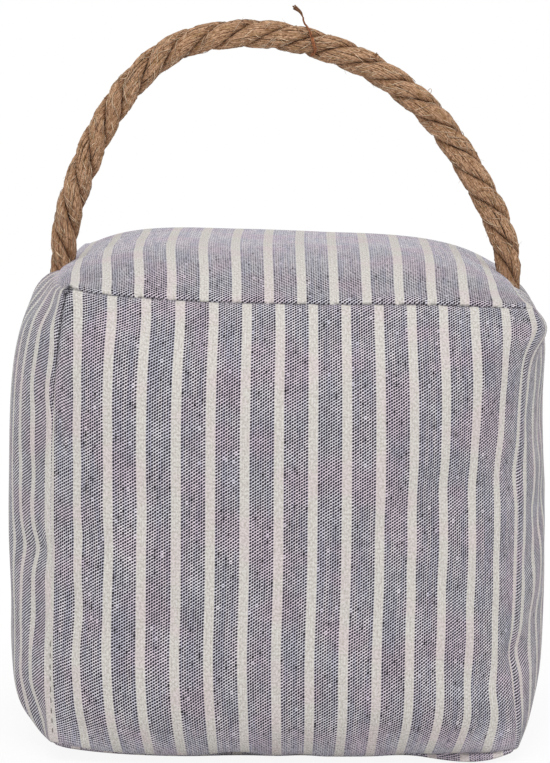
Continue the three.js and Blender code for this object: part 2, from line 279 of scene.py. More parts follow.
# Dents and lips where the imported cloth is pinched: middle, spread and move
DENTS = (
    ((78, -64, 131.5), (8, 14, 5.5), (3.6, 0, 0)),
    ((73, -72, 88), (8, 7, 7), (-1.3, 0.8, 0)),
    ((75, -66, 33), (6, 9, 5), (-1.6, 0.8, 0)),
    ((74, -62, 9), (7, 20, 10), (1.9, 0, 0)),
    ((77, -50, 38), (9, 30, 10), (-0.7, 0, 0)),
    ((84, -10, 112), (12, 70, 25), (-1.9, 0, 0)),
    ((81, 0, 134), (6, 50, 5), (1.6, 0, 0)),
    ((77, 0, 140), (4, 10, 3), (-1.0, 0, -0.8)),
    ((-73, -60, 64), (8, 14, 5), (1.3, 0, 0)),
    ((-77, -45, 17), (9, 25, 13), (-1.8, 0, 0)),
    ((-74, -66, 28), (8, 12, 13), (-0.9, 0, 0)),
    ((-75, 0, 142), (6, 16, 5), (-2.4, 0, 1.2)),
    ((-77, -5, 138), (8, 60, 7), (-1.6, 0, 0)),
    ((-10, 10, 155), (70, 60, 8), (0, 0, -0.5)),
    ((42, -70, 140), (26, 6, 6), (0, 0, 1.5)),
    ((5, -70, 139), (22, 6, 6), (0, 0, 0.6)),
    ((-64, -70, 142), (6, 5, 5), (0, 0, 1.1)),
    ((-12, -71, 2), (8, 5, 4), (0, 0, 1.6)),
    ((7, -71, 2), (4, 5, 4), (0, 0, 0.9)),
    ((39, -71, 2), (6, 5, 4), (0, 0, 0.7)),
    ((57, -71, 2.5), (16, 4, 3), (0, 0.8, 0.7)),
    ((72, -71, 3), (4, 5, 4), (0, 0, 1.2)),
)
for middle, spread, push in DENTS:
    shape = shape + near(shape, middle, spread)[:, None] * np.array(push)

# At the right of the front the base cloth puckers out under its seam
FLOOR_GAP = 0.05
base_rim = on_base & ~on_seam & (shape[:, 1] < -62)
pucker = near(shape, (59.5, -70, 1), (13, 5, 4)) * base_rim
shape[:, 1] -= 5.0 * pucker
shape[:, 2] = np.maximum(FLOOR_GAP, shape[:, 2] - 2.4 * pucker)

# Every face, and where its corners lie on the cut cloth. The rows of the weave run level across
# a whole panel.
faces = []
face_cloth = []
for panel_index, (panel, index) in enumerate(panel_vertices.items()):
    s = cloth_places[panel]
    t = walked(shape[index], 0)[0]
    if panel != "base":
        t = np.broadcast_to(t[:, CELLS // 2, None], s.shape)
    t = t + PANEL_RISE * panel_index
    for j in range(CELLS):
        for i in range(CELLS):
            ring = ((j, i), (j, i + 1), (j + 1, i + 1), (j + 1, i))
            faces.append([index[p] for p in ring])
            face_cloth.append([(s[p], t[p]) for p in ring])

# How deep each seam lies in its valley: it sinks the groove, and it is the painted shade that darkens
# the seam line in the valley. The left front seam is sunk deeper and painted darker towards the knot of
# cloth at its top, where the valley lies in shade.
from_knot = 1 - places[keys[:, 2]]
groove_and_shade_depth = np.zeros(len(shape))
for seam, depth in (
        (on_seam, 0.55),
        (on_top & (on_left | on_right), 0.3),
        (on_front & on_top, 0.85),
        (on_front & on_left, 0.3 + 0.7 * np.exp(-(from_knot / 0.28) ** 2)),
        (on_front & on_right, 0.3),
        (on_base & on_seam, 0.7)):
    groove_and_shade_depth = np.where(seam, depth, groove_and_shade_depth)
left_knot = shape[vertices[(0, 0, CELLS)]]
# The knot of cloth at the left front top corner is sunk, and painted in shade
groove_and_shade_depth = np.maximum(groove_and_shade_depth, near(shape, left_knot, (2.4, 4, 2.4)) * 1.5)
groove_and_shade_depth = np.minimum(groove_and_shade_depth, 1)

# Painted light: the cloth is painted paler towards the crest of the top, where the light falls from
# above at a grazing angle, and low on the front
painted_paleness = np.where(on_top, np.clip((shape[:, 1] + 60) / 48, 0, 1), 0.0)
painted_paleness = np.where(on_front & ~on_top, 0.6 * np.clip((13 - shape[:, 2]) / 10, 0, 1), painted_paleness)

cover_mesh = bpy.data.meshes.new("bag_cover")
cover_mesh.from_pydata([tuple(p) for p in shape * MM], [], faces)
cover = bpy.data.objects.new("bag_cover", cover_mesh)
bpy.context.scene.collection.objects.link(cover)
cloth_map = cover_mesh.uv_layers.new(name="cloth")
cloth_map.data.foreach_set("uv", (np.array(face_cloth, float).ravel() / MAP_TO_MM).astype(np.float32))
for name, values in (("seam_groove_and_shade", groove_and_shade_depth), ("painted_paleness", painted_paleness)):
    layer = cover_mesh.attributes.new(name, "FLOAT", "POINT")
    layer.data.foreach_set("value", values.astype(np.float32))

# The seams stay sharp when the mesh is smoothed
crease = cover_mesh.attributes.new("crease_edge", "FLOAT", "EDGE")
edge_ends = np.zeros(len(cover_mesh.edges) * 2, int)
cover_mesh.edges.foreach_get("vertices", edge_ends)
edge_ends = edge_ends.reshape(-1, 2)
on_end = (keys == 0) | (keys == CELLS)
same_end = ((keys[edge_ends[:, 0]] == keys[edge_ends[:, 1]]) & on_end[edge_ends[:, 0]]).sum(axis=1)
crease.data.foreach_set("value", (same_end >= 2).astype(np.float32))


def mesh_points(mesh):
    co = np.zeros(len(mesh.vertices) * 3, np.float32)
    mesh.vertices.foreach_get("co", co)
    return co.reshape(-1, 3).astype(float)


def set_mesh_points(mesh, co):
    mesh.vertices.foreach_set("co", co.astype(np.float32).ravel())
    mesh.update()


# The fill presses the panels out while the seams and the base stay where they are. The measured
# fullness already holds the swell, so only the wrinkles of the pressed cloth are kept.
PRESSURE = 3.0
CLOTH_STEPS = 22
CLOTH_GROWTH = 0.012
FINE_SMOOTHING = 2
SWELL_SMOOTHING = 60
WRINKLE_EDGE = 5.0
TOP_WRINKLES = 0.45
GREATEST_MOVE = 1.6 * MM


def inflate(obj, held):
    group = obj.vertex_groups.new(name="held")
    group.add([int(i) for i in np.flatnonzero(held)], 1.0, "REPLACE")
    modifier = obj.modifiers.new("fill", "CLOTH")
    settings = modifier.settings
    settings.quality = 7
    settings.mass = 0.3
    settings.tension_stiffness = 15
    settings.compression_stiffness = 15
    settings.shear_stiffness = 5
    settings.bending_stiffness = 0.5
    settings.vertex_group_mass = "held"
    settings.shrink_min = -CLOTH_GROWTH
    settings.use_pressure = True
    settings.uniform_pressure_force = PRESSURE
    settings.effector_weights.gravity = 0
    modifier.collision_settings.use_collision = False
    modifier.collision_settings.use_self_collision = False
    modifier.point_cache.frame_start = 1
    modifier.point_cache.frame_end = CLOTH_STEPS
    for step in range(1, CLOTH_STEPS + 1):
        bpy.context.scene.frame_set(step)
    shown = obj.evaluated_get(bpy.context.evaluated_depsgraph_get())
    moved = mesh_points(shown.data)
    obj.modifiers.remove(modifier)
    obj.vertex_groups.remove(group)
    bpy.context.scene.frame_set(1)
    return moved


def evened(field, times):
    """A grid of moves blurred over its neighbours."""
    for _ in range(times):
        for axis in (0, 1):
            ends = [(1, 1) if a == axis else (0, 0) for a in range(3)]
            wide = np.pad(field, ends, mode="edge")
            if axis == 0:
                field = (wide[:-2] + 2 * wide[1:-1] + wide[2:]) / 4
            else:
                field = (wide[:, :-2] + 2 * wide[:, 1:-1] + wide[:, 2:]) / 4
    return field


start = mesh_points(cover_mesh)
move = inflate(cover, on_seam | on_base) - start
wrinkle = np.zeros_like(move)
from_end = np.minimum(places, 1 - places) * PANEL_WIDTH
from_edge = np.minimum(from_end[None, :], from_end[:, None])
for panel in ("front", "back", "left", "right", "top"):
    index = panel_vertices[panel]
    only = evened(move[index], FINE_SMOOTHING) - evened(move[index], SWELL_SMOOTHING)
    kept = TOP_WRINKLES if panel == "top" else 1.0
    wrinkle[index] = only * np.clip(from_edge / WRINKLE_EDGE, 0, 1)[:, :, None] * kept
length = np.linalg.norm(wrinkle, axis=1)
print("cloth wrinkles: mean %.2f mm, most %.2f mm" % (length.mean() / MM, length.max() / MM))
wrinkle *= np.minimum(1, GREATEST_MOVE / np.maximum(length, 1e-9))[:, None]
set_mesh_points(cover_mesh, start + wrinkle)

smooth = cover.modifiers.new("smooth", "SUBSURF")
smooth.levels = 1
smooth.render_levels = 1
smooth.use_limit_surface = False
fine = bpy.data.meshes.new_from_object(cover.evaluated_get(bpy.context.evaluated_depsgraph_get()))
cover.modifiers.remove(smooth)
cover.data = fine
cover_mesh = fine
for polygon in cover_mesh.polygons:
    polygon.use_smooth = True

# The stitching pulls the seams into a narrow valley
GROOVE = 0.45 * MM
normals = np.zeros(len(cover_mesh.vertices) * 3, np.float32)
cover_mesh.vertices.foreach_get("normal", normals)
normals = normals.reshape(-1, 3)
seam_groove_shade_share = np.zeros(len(cover_mesh.vertices), np.float32)
cover_mesh.attributes["seam_groove_and_shade"].data.foreach_get("value", seam_groove_shade_share)
sunk = mesh_points(cover_mesh) - normals * (GROOVE * seam_groove_shade_share ** 2)[:, None]
sunk[:, 2] = np.maximum(sunk[:, 2], FLOOR_GAP * MM)
set_mesh_points(cover_mesh, sunk)

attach(cover, "root")
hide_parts("weighted_bag")


def srgb(code):
    """A colour written as it looks, such as 9a8f80, as the linear values that a shader takes."""
    channels = [int(code[i:i + 2], 16) / 255 for i in (0, 2, 4)]
    linear = [c / 12.92 if c <= 0.04045 else ((c + 0.055) / 1.055) ** 2.4 for c in channels]
    return (*linear, 1.0)


class Tree:
    """Adds nodes to a material or group, and sets or links each input by its name."""

    def __init__(self, tree):
        self.tree = tree

    def add(self, kind, settings=None, **inputs):
        node = self.tree.nodes.new("ShaderNode" + kind)
        for name, value in (settings or {}).items():
            setattr(node, name, value)
        for name, value in inputs.items():
            wanted = name.replace("_", " ")
            socket = next(
                x for x in node.inputs
                if x.enabled and (x.identifier == name or x.name.lower() == wanted.lower()))
            self.feed(socket, value)
        return node

    def feed(self, socket, value):
        if isinstance(value, bpy.types.NodeSocket):
            self.tree.links.new(value, socket)
        else:
            socket.default_value = value

    def math(self, operation, a, b=0.0, c=0.0):
        node = self.tree.nodes.new("ShaderNodeMath")
        node.operation = operation
        for socket, value in zip(node.inputs, (a, b, c)):
            self.feed(socket, value)
        return node.outputs[0]

    def mix(self, share, a, b):
        """Colour a where the share is 0, and colour b where it is 1."""
        node = self.tree.nodes.new("ShaderNodeMix")
        node.data_type = "RGBA"
        self.feed(node.inputs["Factor"], share)
        self.feed(node.inputs[6], a)
        self.feed(node.inputs[7], b)
        return node.outputs[2]

    def ramp(self, value, low, high):
        """0 below low, 1 above high, and even between."""
        node = self.tree.nodes.new("ShaderNodeMapRange")
        self.feed(node.inputs["Value"], value)
        node.inputs["From Min"].default_value = low
        node.inputs["From Max"].default_value = high
        return node.outputs[0]

    def stain(self, colour, mask, low, high, strength, stain):
        """The colour, stained by up to the strength where the mask goes from low to high."""
        return self.mix(self.math("MULTIPLY", self.ramp(mask, low, high), strength), colour, stain)

    def attribute(self, name):
        """A value that is kept with the points of the mesh."""
        return self.add("Attribute", {"attribute_name": name}).outputs["Fac"]


def new_group(name, inputs, outputs):
    """A node group with named sockets, and the sockets that its own nodes are linked to."""
    group = bpy.data.node_groups.new(name, "ShaderNodeTree")
    for label, kind, value in inputs:
        socket = group.interface.new_socket(label, in_out="INPUT", socket_type=kind)
        if value is not None:
            socket.default_value = value
    for label, kind in outputs:
        group.interface.new_socket(label, in_out="OUTPUT", socket_type=kind)
    entry = group.nodes.new("NodeGroupInput")
    leave = group.nodes.new("NodeGroupOutput")
    return group, entry.outputs, leave.inputs


def place_group(tree, group, **inputs):
    """The outputs of a group placed in a material with its own values."""
    node = tree.tree.nodes.new("ShaderNodeGroup")
    node.node_tree = group
    for name, value in inputs.items():
        tree.feed(node.inputs[name.replace("_", " ")], value)
    return node.outputs


# Uneven dye: patches and streaks, as in all the undyed and dyed fibre here
uneven, given, result = new_group(
    "uneven dye",
    [("Place", "NodeSocketVector", None), ("Patch Scale", "NodeSocketFloat", 40.0),
     ("Streak Scale", "NodeSocketFloat", 300.0), ("Streak Stretch", "NodeSocketFloat", 0.1)],
    [("Patches", "NodeSocketFloat"), ("Streaks", "NodeSocketFloat")])
inner = Tree(uneven)
patches = inner.add("TexNoise", Vector=given["Place"], Scale=given["Patch Scale"], Detail=3.0)
stretch = inner.add("CombineXYZ", X=1.0, Y=given["Streak Stretch"], Z=1.0)
drawn = inner.add("VectorMath", {"operation": "MULTIPLY"})
inner.feed(drawn.inputs[0], given["Place"])
inner.feed(drawn.inputs[1], stretch.outputs[0])
streaks = inner.add("TexNoise", Vector=drawn.outputs[0], Scale=given["Streak Scale"], Detail=2.0)
inner.feed(result["Patches"], patches.outputs[0])
inner.feed(result["Streaks"], streaks.outputs[0])


def new_material(name, roughness, sheen_roughness):
    """A fibre material with a little sheen."""
    material = bpy.data.materials.new(name)
    material.use_nodes = True
    tree = Tree(material.node_tree)
    shader = material.node_tree.nodes["Principled BSDF"]
    shader.inputs["Roughness"].default_value = roughness
    shader.inputs["Specular IOR Level"].default_value = 0.2
    shader.inputs["Sheen Weight"].default_value = 0.1
    shader.inputs["Sheen Roughness"].default_value = sheen_roughness
    return material, tree, shader


# Canvas: dark weft floats in slanting rows over pale warp, and cream stripes of warp alone
THREAD_PITCH = STRIPE_PITCH / 14
ROW_PITCH = 0.95
# Each thread's floats lie this share of a row below its neighbour's, and less on the side panels
ROW_STEP = 0.49
SIDE_STEP = 0.30
FLOAT_LEAN = 0.2
FLOAT_HALF = 0.24
SOFT_EDGE = 0.06
DARK_THREAD = srgb("1a171e")
WORN_DARK = srgb("423d47")
# The dark thread where the cloth is painted pale, as light on it
PALE_LIT_DARK = srgb("8b8898")
PALE_THREAD = srgb("e6e0e5")
COOL_THREAD = srgb("cbc8d6")
ROSE_TINT = srgb("dfc9d8")
BLUE_TINT = srgb("cbd2da")
CREAM_THREAD = srgb("d7d3ce")
CREAM_LINE = srgb("a5a099")
CREAM_BLUSH = srgb("d6c9ca")
CREAM_GRAIN = srgb("a09a90")
# Painted shade for the seam valleys
SEAM_SHADE = srgb("221f26")

canvas, tree, shader = new_material("canvas", 0.85, 0.5)
cloth_uv = tree.add("UVMap", {"uv_map": "cloth"}).outputs[0]
split = tree.add("SeparateXYZ", Vector=cloth_uv)
dye = place_group(tree, uneven, Place=cloth_uv, Patch_Scale=9.0, Streak_Scale=70.0,
                  Streak_Stretch=0.05)
tint = tree.add("TexNoise", Vector=cloth_uv, Scale=6.0, Detail=3.0).outputs[0]
across_mm = tree.math("MULTIPLY", split.outputs[0], MAP_TO_MM)
along_mm = tree.math("MULTIPLY", split.outputs[1], MAP_TO_MM)

# Stripe: 1 on the cream, 0 on the ground, with the edge on a whole number of threads
pitches = tree.math("ADD", tree.math("DIVIDE", across_mm, STRIPE_PITCH), 0.5)
off_centre = tree.math("ABSOLUTE", tree.math("SUBTRACT", tree.math("FRACT", pitches), 0.5))
half_stripe = STRIPE_WIDTH / STRIPE_PITCH / 2
stripe = tree.ramp(off_centre, half_stripe + 0.006, half_stripe - 0.006)

# Floats: each thread's are set lower than its neighbour's, and each is thinner at its ends
threads = tree.math("DIVIDE", across_mm, THREAD_PITCH)
thread_number = tree.math("FLOOR", threads)
thread_share = tree.math("SUBTRACT", tree.math("FRACT", threads), 0.5)
wander = tree.add("TexNoise", Vector=cloth_uv, Scale=14.0, Detail=1.0).outputs[0]
rows = tree.math("DIVIDE", along_mm, ROW_PITCH)
# The left and right panels are the third and fourth bands of the map
on_side = tree.math("COMPARE", across_mm, 2.5 * PANEL_BAND, PANEL_BAND)
step = tree.math("SUBTRACT", ROW_STEP, tree.math("MULTIPLY", on_side, ROW_STEP - SIDE_STEP))
rows = tree.math("SUBTRACT", rows, tree.math("MULTIPLY", thread_number, step))
rows = tree.math("ADD", rows, tree.math("MULTIPLY", wander, 0.9))
row_share = tree.math("SUBTRACT", tree.math("FRACT", rows), 0.5)
row_number = tree.math("FLOOR", rows)
cell = tree.add("CombineXYZ", X=thread_number, Y=row_number, Z=0.0).outputs[0]
chance = tree.add("TexWhiteNoise", {"noise_dimensions": "2D"}, Vector=cell).outputs[0]
leaning = tree.math("SUBTRACT", row_share, tree.math("MULTIPLY", thread_share, FLOAT_LEAN))
# Painted light: where the cloth is painted paler, the dark floats are smaller and the dark thread paler
paleness_share = tree.attribute("painted_paleness")
float_half = tree.math("ADD", FLOAT_HALF, tree.math("MULTIPLY", chance, 0.14))
float_half = tree.math("ADD", float_half, tree.math("MULTIPLY", dye["Patches"], 0.16))
float_half = tree.math("SUBTRACT", float_half, tree.math("MULTIPLY", paleness_share, 0.10))
from_thread = tree.math("ABSOLUTE", thread_share)
narrowing = tree.math("MULTIPLY", tree.math("POWER", from_thread, 2.0), 2.6)
float_half = tree.math("MULTIPLY", float_half, tree.math("SUBTRACT", 1.0, narrowing))

# Here and there a thick pale slub covers a float, or a dark fleck fills the gap after it
slub = tree.math("MULTIPLY", tree.math("GREATER_THAN", chance, 0.995), 0.6)
float_half = tree.math("MULTIPLY", float_half, tree.math("SUBTRACT", 1.0, slub))
fleck = tree.math("LESS_THAN", chance, 0.012)
float_half = tree.math("ADD", float_half, tree.math("MULTIPLY", fleck, 0.2))
edge_room = tree.math("SUBTRACT", float_half, tree.math("ABSOLUTE", leaning))
dot = tree.ramp(edge_room, -SOFT_EDGE, SOFT_EDGE)

# Colours of the threads, patchy from uneven dye, with the cream stripes woven over the ground
pale = tree.mix(tree.ramp(dye["Streaks"], 0.4, 0.62), PALE_THREAD, COOL_THREAD)
pale = tree.stain(pale, tint, 0.48, 0.6, 0.5, ROSE_TINT)
pale = tree.stain(pale, tint, 0.46, 0.36, 0.3, BLUE_TINT)
dark = tree.mix(tree.math("MULTIPLY", chance, 0.6), DARK_THREAD, WORN_DARK)
dark = tree.mix(tree.math("MULTIPLY", paleness_share, 0.6), dark, PALE_LIT_DARK)
ground = tree.mix(dot, pale, dark)
grain = tree.add("TexNoise", Vector=cloth_uv, Scale=150.0, Detail=1.0).outputs[0]
cream = tree.stain(CREAM_THREAD, from_thread, 0.30, 0.5, 0.4, CREAM_LINE)
cream = tree.stain(cream, tint, 0.48, 0.62, 0.7, CREAM_BLUSH)
cream = tree.stain(cream, grain, 0.4, 0.65, 0.6, CREAM_GRAIN)
cloth_colour = tree.mix(stripe, ground, cream)

# The painted shade in the seam valleys is broken up in patches of noise, as by loose fibre
broken = tree.add("TexNoise", Vector=cloth_uv, Scale=55.0, Detail=2.0).outputs[0]
shown_seam_shade = tree.math("MULTIPLY", tree.ramp(broken, 0.34, 0.56), 0.95)
# Painted shade: the seam line is darkened in its valley
seam_groove_shade_share = tree.math("MULTIPLY", tree.ramp(tree.attribute("seam_groove_and_shade"), 0.5, 0.9), shown_seam_shade)
tree.feed(shader.inputs["Base Color"], tree.mix(seam_groove_shade_share, cloth_colour, SEAM_SHADE))
float_relief = tree.math("MULTIPLY", dot, tree.math("SUBTRACT", 1.0, stripe))
thread_relief = tree.math("SUBTRACT", 0.5, from_thread)
relief = tree.math("SUBTRACT", thread_relief, tree.math("MULTIPLY", float_relief, 0.5))
bump = tree.add("Bump", Height=relief, Strength=0.4, Distance=0.0002)
tree.feed(shader.inputs["Normal"], bump.outputs[0])
cover_mesh.materials.clear()
cover_mesh.materials.append(canvas)


# The rope handle
# Three jute strands, each a bundle of spun yarns, are laid up left-handed. The yarns are
# twisted the other way inside each strand, so on the outside they run along the rope.
ROPE_LAY = 31
YARN_TWIST = 19
YARN_RADIUS = 0.43
YARNS = 20
STRANDS = 3
ROPE_STEP = 1.0
YARN_SIDES = 6
TUCK_DEPTH = 13
TUCK_LEAN = 0.14
HANDLE_RISE = 76
FOOT_INWARD = 1.2
# Where each end is sewn in, it is squeezed by this share, dying away along the rope
SQUEEZE = 0.15
SQUEEZE_REACH = 9
SHADE_RADIUS = 4.6
SHADE_DEPTH = 1.5
THINNEST_YARN = 0.32
# The arch of the handle: shares of the way from foot to foot, and of the rise
ARCH = ((0.01, 0.2), (0.055, 0.46), (0.1, 0.63), (0.165, 0.8), (0.26, 0.94), (0.395, 1),
        (0.53, 0.98), (0.66, 0.9), (0.785, 0.75), (0.865, 0.585), (0.92, 0.42), (0.965, 0.26),
        (0.99, 0.1))
# A strand's outline off the middle of the rope, flattened against its neighbours
STRAND_MIDDLE = 2.3
CORE_RADIUS = 1.15
STRAND_OUTLINE = ((4.06, 0), (3.78, 1.38), (2.95, 2.32), (1.98, 2.32), (1.2, 1.2), (0.85, 0),
                  (1.2, -1.2), (1.98, -2.32), (2.95, -2.32), (3.78, -1.38))
JUTE_BROWN = srgb("7d5437")
JUTE_STRAW = srgb("dcb492")
JUTE_YARN = srgb("a9825e")
JUTE_PALE = srgb("c9a283")
JUTE_GREEN = srgb("95784c")
JUTE_GAP_SHADE = srgb("55321a")
JUTE_SHADE = srgb("643f24")


def centripetal(controls, samples):
    """A smooth curve through the control points, as evenly spaced points along it."""
    p = np.array(controls, float)
    p = np.vstack([2 * p[0] - p[1], p, 2 * p[-1] - p[-2]])
    dense = []
    for k in range(1, len(p) - 2):
        p0, p1, p2, p3 = p[k - 1:k + 3]
        t0 = 0.0
        t1 = t0 + np.linalg.norm(p1 - p0) ** 0.5
        t2 = t1 + np.linalg.norm(p2 - p1) ** 0.5
        t3 = t2 + np.linalg.norm(p3 - p2) ** 0.5
        t = np.linspace(t1, t2, 80, endpoint=k == len(p) - 3)[:, None]
        a1 = (t1 - t) / (t1 - t0) * p0 + (t - t0) / (t1 - t0) * p1
        a2 = (t2 - t) / (t2 - t1) * p1 + (t - t1) / (t2 - t1) * p2
        a3 = (t3 - t) / (t3 - t2) * p2 + (t - t2) / (t3 - t2) * p3
        b1 = (t2 - t) / (t2 - t0) * a1 + (t - t0) / (t2 - t0) * a2
        b2 = (t3 - t) / (t3 - t1) * a2 + (t - t1) / (t3 - t1) * a3
        dense.append((t2 - t) / (t2 - t1) * b1 + (t - t1) / (t2 - t1) * b2)
    dense = np.vstack(dense)
    distance = np.concatenate([[0], np.cumsum(np.linalg.norm(np.diff(dense, axis=0), axis=1))])
    even = np.linspace(0, distance[-1], samples)
    return np.stack([np.interp(even, distance, dense[:, k]) for k in range(3)], axis=1), distance[-1]


left_foot = seam_points("left front top", "left back top", [0.5])[0]
right_foot = seam_points("right front top", "right back top", [0.5])[0]
left_tail = np.array([-TUCK_LEAN, 0, -1]) / math.hypot(TUCK_LEAN, 1)
right_tail = np.array([TUCK_LEAN, 0, -1]) / math.hypot(TUCK_LEAN, 1)
controls = [left_foot + left_tail * depth for depth in (TUCK_DEPTH, TUCK_DEPTH / 2, 0)]
for share, rise in ARCH:
    lifted = np.array([0, 0, rise * HANDLE_RISE])
    controls.append(left_foot * (1 - share) + right_foot * share + lifted)
right_foot = right_foot - [FOOT_INWARD, 0, 0]
controls += [right_foot + right_tail * depth for depth in (0, TUCK_DEPTH / 2, TUCK_DEPTH)]
controls = np.array(controls) + SHIFT
_, handle_length = centripetal(controls, 10)
rope_stations = int(handle_length / ROPE_STEP)
line, _ = centripetal(controls, rope_stations)
ahead = np.gradient(line, axis=0)
ahead /= np.linalg.norm(ahead, axis=1)[:, None]
backward = np.broadcast_to(np.array([0.0, 1.0, 0.0]), ahead.shape)
outside = np.cross(ahead, backward)
travelled = np.linspace(0, handle_length, rope_stations)

outline = np.array(STRAND_OUTLINE + STRAND_OUTLINE[:1], float)
outline_walk = np.concatenate([[0], np.cumsum(np.linalg.norm(np.diff(outline, axis=0), axis=1))])
outline_walk /= outline_walk[-1]
spinner = np.random.default_rng(11)


def meander(distance, spacing, size):
    """A smooth random wander along a length, with about one swing for each spacing."""
    knots = np.arange(distance[0] - spacing, distance[-1] + 2 * spacing, spacing)
    heights = spinner.normal(0, size, len(knots))
    place = (distance - knots[0]) / spacing
    k = np.clip(place.astype(int), 0, len(knots) - 2)
    share = place - k
    eased = share * share * (3 - 2 * share)
    return heights[k] * (1 - eased) + heights[k + 1] * eased


def tube(centres, radius, sides, seed_angle=0.0):
    """Points of a round tube along a line, as one ring for each of the line's points."""
    forward = np.gradient(centres, axis=0)
    forward /= np.linalg.norm(forward, axis=1)[:, None]
    side = np.cross(forward, np.array([0.0, 1.0, 0.03]))
    side /= np.linalg.norm(side, axis=1)[:, None]
    other = np.cross(forward, side)
    angle = seed_angle + np.linspace(0, 2 * math.pi, sides, endpoint=False)
    width = np.broadcast_to(np.asarray(radius, float).reshape(-1, 1), (len(centres), sides))
    ring = (side[:, None, :] * np.cos(angle)[None, :, None]
            + other[:, None, :] * np.sin(angle)[None, :, None])
    return centres[:, None, :] + ring * width[:, :, None]


def tubes_mesh(name, tubes, lengths, crevice_shades=None):
    """One mesh of closed tubes. Its map holds the place round (x) and along (y) each tube, and crevice
    shades, one for each station, become the attribute that paints shade on what lies deep."""
    all_points = []
    all_faces = []
    all_map = []
    base = 0
    for number, (ring_points, distance) in enumerate(zip(tubes, lengths)):
        count, sides = ring_points.shape[:2]
        all_points.append(ring_points.reshape(-1, 3))
        index = base + np.arange(count * sides).reshape(count, sides)
        quads = np.stack([index[:-1], np.roll(index, -1, axis=1)[:-1],
                          np.roll(index, -1, axis=1)[1:], index[1:]], axis=2)
        all_faces.extend(quads.reshape(-1, 4).tolist())
        all_faces.append(index[0, ::-1].tolist())
        all_faces.append(index[-1, :].tolist())
        around = np.arange(sides)[None, :] / sides
        low = distance[:-1, None]
        high = distance[1:, None]
        corners = np.stack([
            np.stack(np.broadcast_arrays(around, low), axis=2),
            np.stack(np.broadcast_arrays(around + 1 / sides, low), axis=2),
            np.stack(np.broadcast_arrays(around + 1 / sides, high), axis=2),
            np.stack(np.broadcast_arrays(around, high), axis=2)], axis=2)
        all_map.append(corners.reshape(-1, 2) + np.array([number * 3.0, 0]))
        all_map.append(np.tile([[number * 3.0, distance[0]]], (sides, 1)))
        all_map.append(np.tile([[number * 3.0, distance[-1]]], (sides, 1)))
        base += count * sides
    mesh = bpy.data.meshes.new(name)
    mesh.from_pydata((np.vstack(all_points) * MM).tolist(), [], all_faces)
    layer = mesh.uv_layers.new(name="fibre")
    layer.data.foreach_set("uv", np.vstack(all_map).astype(np.float32).ravel())
    if crevice_shades is not None:
        crevice_shade = mesh.attributes.new("crevice_shade", "FLOAT", "POINT")
        values = np.concatenate([d.ravel() for d in crevice_shades])
        crevice_shade.data.foreach_set("value", values.astype(np.float32))
    for polygon in mesh.polygons:
        polygon.use_smooth = True
    made = bpy.data.objects.new(name, mesh)
    bpy.context.scene.collection.objects.link(made)
    return made


jute, tree, shader = new_material("jute", 0.8, 0.4)
fibre_uv = tree.add("UVMap", {"uv_map": "fibre"}).outputs[0]
dye = place_group(tree, uneven, Place=fibre_uv, Patch_Scale=0.22, Streak_Scale=9.0,
                  Streak_Stretch=0.075)
split = tree.add("SeparateXYZ", Vector=fibre_uv)
yarn_number = tree.math("FLOOR", tree.math("DIVIDE", split.outputs[0], 3.0))
yarn_chance = tree.add("TexWhiteNoise", {"noise_dimensions": "1D"}, W=yarn_number).outputs[0]
straw = tree.mix(tree.ramp(dye["Streaks"], 0.41, 0.58), JUTE_BROWN, JUTE_STRAW)
straw = tree.mix(tree.math("MULTIPLY", yarn_chance, 0.35), straw, JUTE_YARN)
straw = tree.stain(straw, dye["Patches"], 0.5, 0.65, 0.45, JUTE_PALE)
straw = tree.stain(straw, dye["Patches"], 0.48, 0.36, 0.4, JUTE_GREEN)
# Painted shade: small dark specks where the gaps between fibres lie in shade
gap_shade_specks = tree.add("TexNoise", Vector=fibre_uv, Scale=1.9, Detail=3.0).outputs[0]
straw = tree.stain(straw, gap_shade_specks, 0.56, 0.64, 0.55, JUTE_GAP_SHADE)
# Painted shade: yarns that lie deep, in the valleys between the strands, are painted dark brown
straw = tree.mix(tree.math("MULTIPLY", tree.attribute("crevice_shade"), 0.55), straw, JUTE_SHADE)
tree.feed(shader.inputs["Base Color"], straw)
bump = tree.add("Bump", Height=dye["Streaks"], Strength=0.9, Distance=0.0003)
tree.feed(shader.inputs["Normal"], bump.outputs[0])

from_seam = np.minimum(travelled, handle_length - travelled) - TUCK_DEPTH
narrow = 1 - SQUEEZE * np.exp(-(np.maximum(from_seam, 0) / SQUEEZE_REACH) ** 2)


def strand_axes(strand, distance, back, out):
    """The directions away from the rope's middle and across, at distances along a strand."""
    turn = (2 * math.pi * strand / STRANDS - 2 * math.pi * distance / ROPE_LAY)[:, None]
    return back * np.cos(turn) + out * np.sin(turn), -back * np.sin(turn) + out * np.cos(turn)


def on_outline(place):
    """A point of the strand's outline, off the strand's own middle, at a share of the way round."""
    x = np.interp(place % 1, outline_walk, outline[:, 0]) - STRAND_MIDDLE
    return x, np.interp(place % 1, outline_walk, outline[:, 1])


